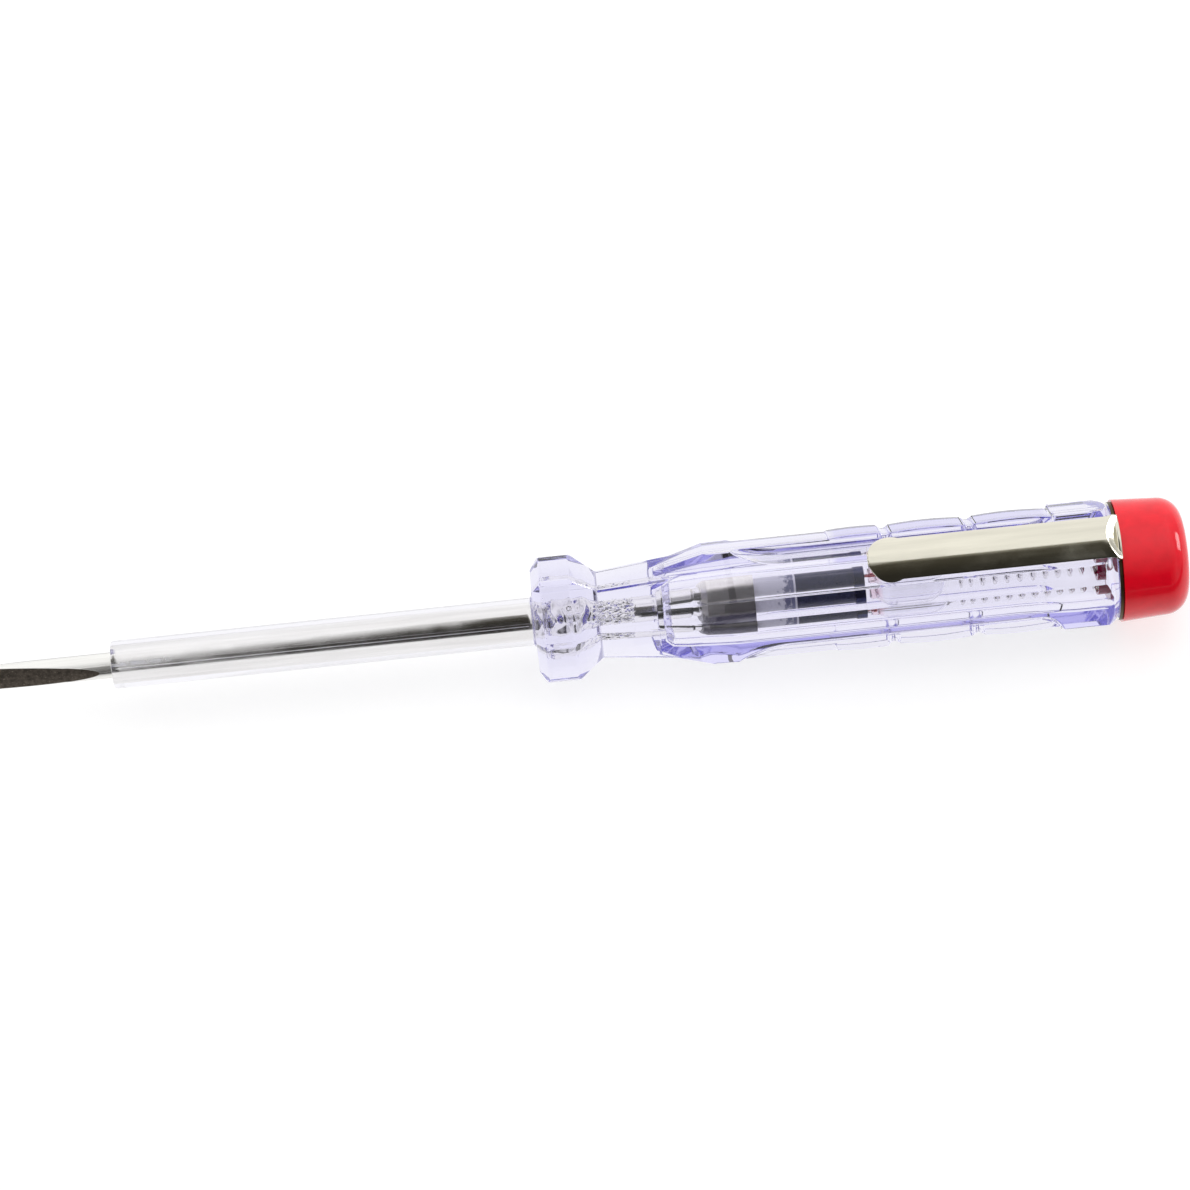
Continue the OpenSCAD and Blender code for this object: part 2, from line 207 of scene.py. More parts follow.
def select_where(piece, kind, test):
    """In edit mode, selects the verts or edges that pass the test."""
    mesh = bmesh.from_edit_mesh(piece.data)
    parts = mesh.verts if kind == "VERT" else mesh.edges
    bpy.ops.mesh.select_mode(type=kind)
    bpy.ops.mesh.select_all(action="DESELECT")
    passed = [part for part in parts if test(part)]
    if not passed:
        raise RuntimeError("nothing to select on " + piece.name)
    for part in passed:
        part.select_set(True)
    mesh.select_flush_mode()
    bmesh.update_edit_mesh(piece.data)


def scale_across(factor):
    """Scales the selection about the long axis."""
    bpy.ops.transform.resize(value=(1, factor, factor), center_override=(0, 0, 0))


def off_axis(point):
    """Distance of a point from the long axis."""
    return math.hypot(point.y, point.z)


def copy_of_node(node, name):
    """A copy of a solid's mesh, merged into whole faces so that it can be shaped."""
    piece = bpy.data.objects.new(name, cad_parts[node].data.copy())
    bpy.context.scene.collection.objects.link(piece)
    pick(piece)
    bpy.ops.mesh.customdata_custom_splitnormals_clear()
    enter_edit()
    select_mesh()
    bpy.ops.mesh.remove_doubles(threshold=0.002 * MM)
    bpy.ops.mesh.dissolve_limited(angle_limit=math.radians(0.3))
    leave_edit()
    piece.data.materials.clear()
    return piece


def turned_piece(name, profile, steps):
    """A closed piece spun about the long axis from (station, radius) points."""
    bpy.ops.object.select_all(action="DESELECT")
    bpy.ops.mesh.primitive_plane_add(size=MM, location=(0, 0, 0))
    piece = named(name)
    enter_edit()
    bpy.ops.mesh.select_mode(type="VERT")
    select_mesh()
    bpy.ops.mesh.merge(type="CENTER")
    bpy.ops.transform.translate(value=(profile[0][0], 0, profile[0][1]))
    for (x1, r1), (x2, r2) in zip(profile, profile[1:]):
        bpy.ops.mesh.extrude_region_move(TRANSFORM_OT_translate={"value": (x2 - x1, 0, r2 - r1)})
    select_mesh()
    bpy.ops.mesh.spin(steps=steps, angle=2 * math.pi, center=(0, 0, 0), axis=(1, 0, 0))
    select_mesh()
    bpy.ops.mesh.remove_doubles(threshold=0.001 * MM)
    bpy.ops.mesh.normals_make_consistent(inside=False)
    leave_edit()
    return piece


def apply_modifier(piece, kind, **settings):
    """Adds a modifier, sets it and applies it."""
    modifier = piece.modifiers.new(kind.title(), kind)
    for key, value in settings.items():
        setattr(modifier, key, value)
    pick(piece)
    bpy.ops.object.modifier_apply(modifier=modifier.name)


def round_edges(piece, width, degrees):
    """Rounds every edge sharper than the angle."""
    apply_modifier(piece, "BEVEL", width=width, segments=2, limit_method="ANGLE",
                   angle_limit=math.radians(degrees), use_clamp_overlap=False)


def join_to(piece, other):
    """Joins another object to the piece."""
    pick(piece)
    other.select_set(True)
    bpy.ops.object.join()


def smooth(piece, degrees):
    """Shades smooth across edges flatter than the angle."""
    pick(piece)
    bpy.ops.object.shade_smooth_by_angle(angle=math.radians(degrees))


def dress(piece, *materials):
    """Gives the piece its materials, in slot order."""
    piece.data.materials.clear()
    for material in materials:
        piece.data.materials.append(material)


# Node helpers

def fill(tree, node, sockets):
    """Fills a node's inputs with values or with other nodes' outputs."""
    for key, value in sockets.items():
        if isinstance(value, bpy.types.NodeSocket):
            tree.links.new(value, node.inputs[key])
        else:
            node.inputs[key].default_value = value


def place(tree, kind, sockets=None, **settings):
    """Adds a node, sets it and fills its inputs."""
    node = tree.nodes.new(kind)
    for key, value in settings.items():
        setattr(node, key, value)
    fill(tree, node, sockets or {})
    return node


def calc(tree, operation, *values, **settings):
    """Adds a sum and returns its output."""
    return place(tree, "ShaderNodeMath", dict(enumerate(values)), operation=operation, **settings).outputs[0]


def span(tree, value, low, high, to_low, to_high):
    """Maps a value from one span to another and returns the output."""
    return place(tree, "ShaderNodeMapRange", {
        "Value": value, "From Min": low, "From Max": high, "To Min": to_low, "To Max": to_high}).outputs[0]


def near(tree, value, middle, full, none):
    """1 within a distance of a middle value, fading to 0."""
    away = calc(tree, "ABSOLUTE", calc(tree, "SUBTRACT", value, middle))
    return span(tree, away, full, none, 1.0, 0.0)


def between(tree, value, rise, fall):
    """1 between two stations, rising and falling over the given pairs of millimetres."""
    rising = span(tree, value, rise[0] * MM, rise[1] * MM, 0.0, 1.0)
    falling = span(tree, value, fall[0] * MM, fall[1] * MM, 1.0, 0.0)
    return calc(tree, "MULTIPLY", rising, falling)


def mixed(tree, factor, first, second):
    """Mixes two colours by a factor and returns the output."""
    return place(tree, "ShaderNodeMix", {0: factor, 6: first, 7: second}, data_type="RGBA").outputs[2]


def rgba(base, factor=1.0):
    """A colour with alpha, made lighter or darker by a factor."""
    return (*(min(1.0, c * factor) for c in base), 1.0)


def toned(tree, value, base, dark, light, low=0.3, high=0.7):
    """A colour that runs from darker to lighter with a grain."""
    tone = span(tree, value, low, high, 0.0, 1.0)
    return mixed(tree, tone, rgba(base, dark), rgba(base, light))


def bumped(tree, height, strength, depth):
    """A normal bumped by a height."""
    return place(tree, "ShaderNodeBump", {
        "Height": height, "Strength": strength, "Distance": depth}).outputs[0]


def axes_of(tree, space="Object"):
    """The X, Y and Z of a point in the piece's own space, or in another."""
    spot = place(tree, "ShaderNodeTexCoord")
    return place(tree, "ShaderNodeSeparateXYZ", {0: spot.outputs[space]}).outputs


def turn_of(tree, axes):
    """The turn about the long axis from the top towards the front."""
    return calc(tree, "ARCTAN2", calc(tree, "MULTIPLY", axes["Y"], -1.0), axes["Z"])


def new_group(name, inputs, output):
    """A shader node group with named float or vector inputs and one float output."""
    group = bpy.data.node_groups.new(name, "ShaderNodeTree")
    for label, default in inputs.items():
        kind = "NodeSocketVector" if isinstance(default, tuple) else "NodeSocketFloat"
        group.interface.new_socket(label, in_out="INPUT", socket_type=kind).default_value = default
    group.interface.new_socket(output, in_out="OUTPUT", socket_type="NodeSocketFloat")
    return group, group.nodes.new("NodeGroupInput").outputs, group.nodes.new("NodeGroupOutput")


def grain_group():
    """Fine grain: stretched noise about 0.5."""
    group, given, result = new_group(
        "Fine grain", {"Size": 1000.0, "Stretch": (1, 1, 1), "Detail": 3.0}, "Grain")
    spot = place(group, "ShaderNodeTexCoord")
    stretched = place(group, "ShaderNodeVectorMath", {0: spot.outputs["Object"], 1: given["Stretch"]},
                      operation="MULTIPLY")
    texture = place(group, "ShaderNodeTexNoise", {
        "Vector": stretched.outputs[0], "Scale": given["Size"], "Detail": given["Detail"]})
    group.links.new(texture.outputs["Fac"], result.inputs["Grain"])
    return group


def marks_group():
    """Handling marks: short scratches and soft smudges, as a mask from 0 to 1."""
    group, given, result = new_group(
        "Handling marks", {"Scratch size": 900.0, "Smudge size": 120.0, "Amount": 0.5}, "Marks")
    spot = place(group, "ShaderNodeTexCoord")
    turned = place(group, "ShaderNodeMapping", {
        "Vector": spot.outputs["Object"], "Rotation": (0.3, 0.5, 0.4), "Scale": (0.06, 1, 1)})
    lines = place(group, "ShaderNodeTexNoise", {
        "Vector": turned.outputs[0], "Scale": given["Scratch size"], "Detail": 2.0})
    cloud = place(group, "ShaderNodeTexNoise", {
        "Vector": spot.outputs["Object"], "Scale": given["Smudge size"], "Detail": 4.0})
    thin = span(group, lines.outputs["Fac"], 0.66, 0.74, 0.0, 0.7)
    soft = span(group, cloud.outputs["Fac"], 0.45, 0.75, 0.0, 0.6)
    both = calc(group, "MAXIMUM", thin, soft)
    scaled = calc(group, "MULTIPLY", both, given["Amount"], use_clamp=True)
    group.links.new(scaled, result.inputs["Marks"])
    return group


def grain(tree, size, stretch, detail):
    """Places the fine grain in a material and returns its output."""
    group = bpy.data.node_groups.get("Fine grain") or grain_group()
    return place(tree, "ShaderNodeGroup", {
        "Size": size, "Stretch": stretch, "Detail": detail}, node_tree=group).outputs[0]


def handling_marks(tree, scratch_size, smudge_size, amount):
    """Places the handling marks in a material and returns their output."""
    group = bpy.data.node_groups.get("Handling marks") or marks_group()
    return place(tree, "ShaderNodeGroup", {
        "Scratch size": scratch_size, "Smudge size": smudge_size, "Amount": amount},
        node_tree=group).outputs[0]


# Materials

EVEN = (1, 1, 1)
MATT = {"Roughness": 0.9, "Specular IOR Level": 0.0}
WHITE = (1, 1, 1, 1)


def new_material(name):
    """An empty node material with its output and shader."""
    material = bpy.data.materials.new(name)
    material.use_nodes = True
    tree = material.node_tree
    tree.nodes.clear()
    output = tree.nodes.new("ShaderNodeOutputMaterial")
    shader = tree.nodes.new("ShaderNodeBsdfPrincipled")
    tree.links.new(shader.outputs[0], output.inputs["Surface"])
    return material, tree, shader, output


def own_shader(material):
    """A material's node tree and its shader."""
    tree = material.node_tree
    return tree, next(n for n in tree.nodes if n.type == "BSDF_PRINCIPLED")


def feed_of(shader, label):
    """The output that feeds one of a shader's inputs."""
    return shader.inputs[label].links[0].from_socket


def open_to_lamps(tree, shader, output, tint):
    """Lets lamp light through a clear material."""
    through = place(tree, "ShaderNodeBsdfTransparent", {"Color": tint})
    path = place(tree, "ShaderNodeLightPath")
    either = place(tree, "ShaderNodeMixShader", {
        0: path.outputs["Is Shadow Ray"], 1: shader.outputs[0], 2: through.outputs[0]})
    tree.links.new(either.outputs[0], output.inputs["Surface"])


def clear_plastic(name, tint, density, ior, wear):
    """Clear moulded plastic: tinted through its depth, faintly marked, and open to lamp light."""
    material, tree, shader, output = new_material(name)
    marks = handling_marks(tree, 1400.0, 260.0, wear)
    flow = grain(tree, 160.0, (0.35, 1, 1), 1.0)
    fill(tree, shader, {
        "Base Color": (0.985, 0.98, 1.0, 1.0), "IOR": ior, "Transmission Weight": 1.0,
        "Roughness": span(tree, marks, 0.0, 1.0, 0.015, 0.16),
        "Normal": bumped(tree, flow, 0.06, 0.02 * MM)})
    open_to_lamps(tree, shader, output, (0.90, 0.89, 0.95, 1.0))
    depth = place(tree, "ShaderNodeVolumeAbsorption", {"Color": rgba(tint), "Density": density})
    tree.links.new(depth.outputs[0], output.inputs["Volume"])
    return material


def metal(name, base, rough, spread, size, stretch, bump_depth, wear):
    """Metal with a drawn, ground or plated grain and light marks."""
    material, tree, shader, _ = new_material(name)
    drawn = grain(tree, size, stretch, 4.0)
    marks = handling_marks(tree, 1100.0, 300.0, wear)
    uneven = span(tree, drawn, 0.3, 0.7, rough - spread, rough + spread)
    fill(tree, shader, {
        "Base Color": toned(tree, drawn, base, 0.86, 1.1, 0.25, 0.75),
        "Roughness": calc(tree, "MULTIPLY_ADD", marks, 0.25, uneven),
        "Normal": bumped(tree, drawn, 0.35, bump_depth), "Metallic": 1.0})
    return material


def cup_metal(base):
    """Plated cup metal with painted light and shade: bright on top, painted darker down the sides and near
    black underneath.
    """
    material = metal("Satin cup metal", base, 0.2, 0.06, 1500.0, (1, 0.1, 0.1), 0.01 * MM, 0.6)
    tree, shader = own_shader(material)
    turn = turn_of(tree, axes_of(tree))
    wander = calc(tree, "MULTIPLY_ADD", grain(tree, 900.0, EVEN, 3.0), 0.2, turn)
    # Painted shade: the colour darkens with the turn away from the top and goes near black on the underside,
    # as light falls from above.
    dull = span(tree, wander, math.radians(8), math.radians(22), 0.0, 1.0)
    under = span(tree, wander, math.radians(58), math.radians(70), 0.0, 1.0)
    body = mixed(tree, dull, feed_of(shader, "Base Color"), rgba(base, 0.31))
    fill(tree, shader, {
        "Base Color": mixed(tree, under, body, (0.05, 0.045, 0.065, 1.0)), "Metallic": 0.7})
    return material


def bright_steel(base):
    """Drawn shank steel: a pale frayed scrape under the sleeve, and painted shade that darkens the underside
    in the handle.
    """
    material = metal("Bright steel", base, 0.13, 0.05, 900.0, (0.05, 1, 1), 0.004 * MM, 0.5)
    tree, shader = own_shader(material)
    axes = axes_of(tree)
    turn = turn_of(tree, axes)
    in_handle = span(tree, axes["X"], (KNURL_END + 0.3) * MM, (KNURL_END + 0.9) * MM, 0.0, 1.0)
    # Painted shade: the steel's underside inside the handle is darkened in its colour, where shade falls.
    underside = near(tree, turn, math.radians(54), math.radians(8), math.radians(14))
    painted_underside_shade = calc(tree, "MULTIPLY", in_handle, underside)
    drawn = mixed(tree, painted_underside_shade, feed_of(shader, "Base Color"), rgba(base, 0.08))
    fray = grain(tree, 1500.0, (0.5, 1, 1), 5.0)
    wander = calc(tree, "MULTIPLY_ADD", fray, 0.22, turn)
    across = near(tree, wander, math.radians(28) + 0.11, 0.09, 0.15)
    along = between(tree, axes["X"], (-49.0, -48.6), (-43.4, -41.8))
    holes = span(tree, fray, 0.43, 0.53, 0.08, 1.0)
    scrape = calc(tree, "MULTIPLY", calc(tree, "MULTIPLY", along, across), holes)
    fill(tree, shader, {
        "Base Color": mixed(tree, scrape, drawn, (0.95, 0.95, 0.96, 1.0)),
        "Roughness": calc(tree, "MULTIPLY_ADD", scrape, 0.5, feed_of(shader, "Roughness"))})
    return material


def ground_steel(base):
    """The blade's ground faces: dull and mottled, with bright specks."""
    material, tree, shader, _ = new_material("Ground steel")
    mottle = grain(tree, 2200.0, (0.8, 1, 1), 5.0)
    specks = span(tree, grain(tree, 7000.0, EVEN, 1.0), 0.66, 0.74, 0.0, 0.8)
    cross = grain(tree, 900.0, (6, 0.6, 0.6), 3.0)
    dull = toned(tree, mottle, base, 0.55, 1.35, 0.32, 0.68)
    fill(tree, shader, {
        "Base Color": mixed(tree, specks, dull, rgba(base, 3.6)),
        "Roughness": span(tree, mottle, 0.3, 0.7, 0.5, 0.34),
        "Normal": bumped(tree, cross, 0.5, 0.02 * MM), "Metallic": 0.9})
    return material


def banded_rod(film, ceramic):
    """The resistor: white ceramic in front, a smeared edge, a thin bare ring, then the dark film."""
    material, tree, shader, _ = new_material("Resistor film on ceramic")
    along = axes_of(tree)["X"]
    blots = grain(tree, 1500.0, (1.3, 1, 1), 3.0)
    fine = grain(tree, 4200.0, EVEN, 4.0)
    reach = span(tree, along, 28.2 * MM, 30.4 * MM, -0.22, 0.24)
    smear = span(tree, calc(tree, "ADD", blots, reach), 0.47, 0.62, 0.0, 0.85)
    ring = span(tree, along, 30.5 * MM, 30.56 * MM, 0.0, 1.0)
    behind = span(tree, along, 30.72 * MM, 30.8 * MM, 0.0, 1.0)
    bare = calc(tree, "SUBTRACT", ring, behind)
    dark = toned(tree, fine, film, 0.75, 1.5)
    white = toned(tree, fine, ceramic, 0.94, 1.06)
    front = mixed(tree, smear, white, rgba(film, 3.2))
    ringed = mixed(tree, bare, mixed(tree, behind, front, dark), white)
    specks = span(tree, fine, 0.70, 0.76, 0.0, 0.35)
    fill(tree, shader, {
        "Base Color": mixed(tree, specks, ringed, rgba(ceramic, 0.7)),
        "Roughness": span(tree, fine, 0.3, 0.7, 0.26, 0.42)})
    return material


def lamp_wire_metal(steel, seal):
    """Grey lamp wire, copper red where it passes the glass."""
    material, tree, shader, _ = new_material("Lamp wire")
    axes = axes_of(tree)
    flat = place(tree, "ShaderNodeCombineXYZ", {"Y": axes["Y"], "Z": axes["Z"]})
    off = place(tree, "ShaderNodeVectorMath", {0: flat.outputs[0]}, operation="LENGTH")
    in_front = span(tree, axes["X"], 40.8 * MM, 41.4 * MM, 1.0, 0.0)
    inside = span(tree, off.outputs["Value"], 1.1 * MM, 1.3 * MM, 1.0, 0.0)
    red = calc(tree, "MULTIPLY", in_front, inside)
    drawn = grain(tree, 5000.0, (0.2, 1, 1), 3.0)
    fill(tree, shader, {
        "Base Color": mixed(tree, red, toned(tree, drawn, steel, 0.32, 0.5), rgba(seal)),
        "Roughness": span(tree, drawn, 0.3, 0.7, 0.3, 0.5), "Metallic": 1.0})
    return material


def moulded_plastic(name, base):
    """Glossy moulded plastic with a faint flow texture, smudges and fine scratches."""
    material, tree, shader, _ = new_material(name)
    flow = grain(tree, 700.0, EVEN, 5.0)
    marks = handling_marks(tree, 1300.0, 220.0, 0.8)
    pale = (min(1.0, base[0] * 1.15), base[1] + 0.05, base[2] + 0.05, 1.0)
    dust = span(tree, marks, 0.0, 1.0, 0.0, 0.1)
    fill(tree, shader, {
        "Base Color": mixed(tree, dust, toned(tree, flow, base, 0.93, 1.07), pale),
        "Roughness": span(tree, marks, 0.0, 1.0, 0.09, 0.2),
        "Normal": bumped(tree, flow, 0.12, 0.02 * MM)})
    return material


def lamp_glass_clear():
    """Thin clear lamp glass with a trace of unevenness, faintly red at its pinch."""
    material, tree, shader, output = new_material("Lamp glass")
    pinch = span(tree, axes_of(tree)["X"], 39.9 * MM, 40.8 * MM, 0.35, 0.0)
    fill(tree, shader, {
        "Base Color": mixed(tree, pinch, (0.975, 0.975, 0.99, 1.0), (0.93, 0.52, 0.56, 1.0)),
        "Normal": bumped(tree, grain(tree, 700.0, (0.4, 1, 1), 1.0), 0.1, 0.02 * MM),
        "Roughness": 0.02, "IOR": 1.5, "Transmission Weight": 1.0})
    open_to_lamps(tree, shader, output, (0.93, 0.93, 0.96, 1.0))
    return material


def floor_material():
    """White floor that keeps the shadow for the camera, white in glass and dim in front in glossy sides."""
    material, tree, shader, output = new_material("White floor")
    fill(tree, shader, {"Base Color": (0.36, 0.36, 0.36, 1.0), **MATT})
    path = place(tree, "ShaderNodeLightPath").outputs
    in_front = span(tree, axes_of(tree)["Y"], -0.05, -0.014, 0.06, 1.0)
    level = calc(tree, "MAXIMUM", path["Is Transmission Ray"], in_front)
    white = place(tree, "ShaderNodeEmission", {"Color": WHITE, "Strength": level})
    lift = place(tree, "ShaderNodeEmission", {"Color": WHITE, "Strength": 0.72})
    lifted = place(tree, "ShaderNodeAddShader", {0: shader.outputs[0], 1: lift.outputs[0]})
    mirrored = calc(tree, "MAXIMUM", path["Is Glossy Ray"], path["Is Transmission Ray"])
    all_rays = place(tree, "ShaderNodeMixShader", {0: mirrored, 1: lifted.outputs[0], 2: white.outputs[0]})
    tree.links.new(all_rays.outputs[0], output.inputs["Surface"])
    return material


def dark_card_material():
    """Dark olive card that gives the metal its dark side, paler at its upper edge and over the cap."""
    material, tree, shader, _ = new_material("Dark card")
    axes = axes_of(tree, "UV")
    ramp = place(tree, "ShaderNodeValToRGB", {0: axes["Y"]})
    stops = [(0.0, (0.014, 0.013, 0.012)), (0.6, (0.020, 0.018, 0.013)),
             (0.92, (0.055, 0.050, 0.036)), (1.0, (0.28, 0.27, 0.23))]
    points = ramp.color_ramp.elements
    while len(points) < len(stops):
        points.new(0.5)
    for point, (spot, tone) in zip(points, stops):
        point.position = spot
        point.color = rgba(tone)
    over_cap = span(tree, axes["X"], 0.348, 0.376, 0.0, 1.0)
    rising = span(tree, axes["Y"], 0.28, 0.92, 0.0, 1.0)
    end = span(tree, axes["X"], 0.44, 1.0, 0.0, 0.6)
    fade = calc(tree, "MAXIMUM", calc(tree, "MULTIPLY", over_cap, rising), end)
    fill(tree, shader, {
        "Base Color": (0.01, 0.01, 0.01, 1), "Emission Strength": 1.0, **MATT,
        "Emission Color": mixed(tree, fade, ramp.outputs[0], (0.95, 0.95, 0.94, 1.0))})
    return material


# Stage

BOUNCES = 40
STRIP_RADIUS = 0.8
STRIP_LOW = 1
# Stations along the dark strip, with the height of its upper edge in degrees
STRIP_TOP = [(-0.22, 35), (-0.13, 52), (-0.10, 84), (-0.06, 104), (-0.03, 122), (0.02, 122), (0.05, 98),
             (0.09, 92), (0.90, 92)]


class TESTER_OT_stage(bpy.types.Operator):
    """Sets up the camera, the white floor, the lamps and the room"""

    bl_idname = "tester.stage"
    bl_label = "Stage"

    def execute(self, context):
        scene = context.scene
        self.camera(scene, scene.tester_stage)
        bpy.ops.object.select_all(action="DESELECT")
        bpy.ops.mesh.primitive_plane_add(size=6, location=(0, 0, FLOOR_Z))
        floor = named("floor")
        dress(floor, floor_material())
        card = self.dark_strip()

        self.lamp("Overhead softbox", (0.05, 0.22, 0.60), (0.75, 0.5), 1.4, False)
        self.lamp("Side softbox", (0.648, 0.10, 0.231), (0.25, 0.20), 1.1, True)
        self.room(scene)
        scene.view_settings.view_transform = "Standard"
        scene.cycles.max_bounces = BOUNCES
        scene.cycles.glossy_bounces = BOUNCES
        scene.cycles.transmission_bounces = BOUNCES
        return {"FINISHED"}

    def camera(self, scene, look):
        """A long lens above the tool, rolled so that the tool rises to the right."""
        rise = look.elevation
        toward = Vector((0, -math.cos(rise), math.sin(rise)))
        up_flat = Vector((0, math.sin(rise), math.cos(rise)))
        along = Vector((1, 0, 0))
        right = along * math.cos(look.roll) - up_flat * math.sin(look.roll)
        up = along * math.sin(look.roll) + up_flat * math.cos(look.roll)
        aim = along * look.aim_x + up_flat * look.aim_up
        data = bpy.data.cameras.new("Camera")
        data.sensor_width = 36.0
        data.lens = look.lens
        data.clip_start = 0.01
        data.clip_end = 20.0
        camera = bpy.data.objects.new("Camera", data)
        scene.collection.objects.link(camera)
        turn = Matrix((right, up, toward)).transposed()
        camera.matrix_world = Matrix.Translation(aim + toward * look.distance) @ turn.to_4x4()
        scene.camera = camera

    def dark_strip(self):
        """A dark strip behind the camera, arched from low in front to overhead."""
        bpy.ops.object.select_all(action="DESELECT")
        bpy.ops.mesh.primitive_grid_add(x_subdivisions=112, y_subdivisions=40, size=2)
        card = named("dark_strip")
        middle, half = 0.34, 0.56
        for vert in card.data.vertices:
            x = middle + vert.co.x * half
            rise = math.radians(STRIP_LOW + (self.strip_top(x) - STRIP_LOW) * (vert.co.y + 1) / 2)
            vert.co = (x, -STRIP_RADIUS * math.cos(rise), STRIP_RADIUS * math.sin(rise))
        dress(card, dark_card_material())
        return card

    def strip_top(self, x):
        """Height of the strip's upper edge in degrees, highest over the sleeve."""
        for (x1, top1), (x2, top2) in zip(STRIP_TOP, STRIP_TOP[1:]):
            if x <= x2:
                return top1 + (top2 - top1) * (x - x1) / (x2 - x1)
        return STRIP_TOP[-1][1]

    def lamp(self, name, spot, size, power, mirrored):
        """A rectangular softbox that faces the tool, with or without its own reflection."""
        data = bpy.data.lights.new(name, "AREA")
        data.shape = "RECTANGLE"
        data.size, data.size_y = size
        data.energy = power
        lamp = bpy.data.objects.new(name, data)
        bpy.context.scene.collection.objects.link(lamp)
        lamp.location = spot
        aim = Vector((0.01, 0, 0)) - Vector(spot)
        lamp.rotation_euler = aim.to_track_quat("-Z", "Y").to_euler()
        lamp.visible_glossy = mirrored
        lamp.visible_transmission = False

    def room(self, scene):
        """A pale room, white to the camera and dimmer in front."""
        world = bpy.data.worlds.new("Studio room")
        scene.world = world
        world.use_nodes = True
        tree = world.node_tree
        tree.nodes.clear()
        output = tree.nodes.new("ShaderNodeOutputWorld")
        axes = axes_of(tree, "Generated")
        front = span(tree, axes["Y"], -0.3, 0.05, 0.82, 1.06)
        ends = span(tree, calc(tree, "ABSOLUTE", axes["X"]), 0.45, 0.85, 1.0, 0.55)
        level = calc(tree, "MULTIPLY", front, ends)
        soft = place(tree, "ShaderNodeBackground", {"Color": WHITE, "Strength": level})
        white = place(tree, "ShaderNodeBackground", {"Color": WHITE, "Strength": 1.0})
        path = place(tree, "ShaderNodeLightPath")
        both = place(tree, "ShaderNodeMixShader", {
            0: path.outputs["Is Camera Ray"], 1: soft.outputs[0], 2: white.outputs[0]})
        tree.links.new(both.outputs[0], output.inputs["Surface"])


# Pieces

class TESTER_OT_handle(bpy.types.Operator):
    """Makes the clear handle with rounded edges, closed on the moulded-in shank"""

    bl_idname = "tester.handle"
    bl_label = "Clear handle"

    def execute(self, context):
        sizes, colours = context.scene.tester_sizes, context.scene.tester_colours
        piece = copy_of_node("handle", "handle_body")
        self.round_shoulder(piece, sizes.shoulder_round)
        round_edges(piece, sizes.edge_round, 14)
        enter_edit()
        select_where(piece, "VERT", lambda v: off_axis(v.co) < SHANK_R * 1.15)
        scale_across(sizes.hidden_wall / SHANK_R)
        leave_edit()
        self.part_corners(piece)
        smooth(piece, 20)
        apply_modifier(piece, "WEIGHTED_NORMAL", keep_sharp=True, weight=80)
        plastic = clear_plastic("Clear lilac plastic", colours.handle_tint, 55.0, 1.53, 0.35)
        self.paint_pad_top_shade(plastic, colours.pad_top_painted_shade)
        dress(piece, plastic)
        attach(piece, "handle")
        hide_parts("handle")
        return {"FINISHED"}

    def paint_pad_top_shade(self, plastic, tint):
        """Paints a deeper lilac on the tops of the upper grip pads: painted shade for the deeper tone that
        light reflected inside the plastic takes on there.
        """
        tree, shader = own_shader(plastic)
        axes = axes_of(tree)
        rail = math.radians(RAIL_TURN)
        across = calc(tree, "MULTIPLY", axes["Y"], -math.sin(rail))
        height = calc(tree, "MULTIPLY_ADD", axes["Z"], math.cos(rail), across)
        on_top = span(tree, height, 6.3 * MM, 6.5 * MM, 0.0, 1.0)
        along = between(tree, axes["X"], (35.2, 36.0), (60.0, 61.0))
        # Painted shade: the mask of the pad tops where the deeper lilac is painted.
        pad = calc(tree, "MULTIPLY", along, on_top)
        plain = shader.inputs["Base Color"].default_value[:]
        fill(tree, shader, {"Base Color": mixed(tree, pad, plain, rgba(tint))})

    def round_shoulder(self, piece, width):
        """Rounds the bend where the tapered shoulder runs into the straight body."""
        def on_bend(edge):
            return all(abs(v.co.x - SHOULDER_BEND * MM) < 0.01 * MM and off_axis(v.co) > 5 * MM
                       for v in edge.verts)

        enter_edit()
        select_where(piece, "EDGE", on_bend)
        bpy.ops.mesh.bevel(offset=width, offset_type="OFFSET", segments=8, clamp_overlap=False)
        leave_edit()

    def part_corners(self, piece):
        """Marks the crisp lines where the turned corners meet the flat facets."""
        mesh = bmesh.new()
        mesh.from_mesh(piece.data)
        turned = set()
        for face in mesh.faces:
            middle = face.calc_center_median()
            r = off_axis(middle)
            outer = max(off_axis(v.co) for v in face.verts)
            out = (face.normal.y * middle.y + face.normal.z * middle.z) / max(r, 1e-9)
            if r > 7.2 * MM and r > 0.994 * outer and out > 0.97:
                turned.add(face)
        for edge in mesh.edges:
            sides = [face in turned for face in edge.link_faces]
            if len(sides) == 2 and sides[0] != sides[1]:
                edge.smooth = False
        mesh.to_mesh(piece.data)
        mesh.free()


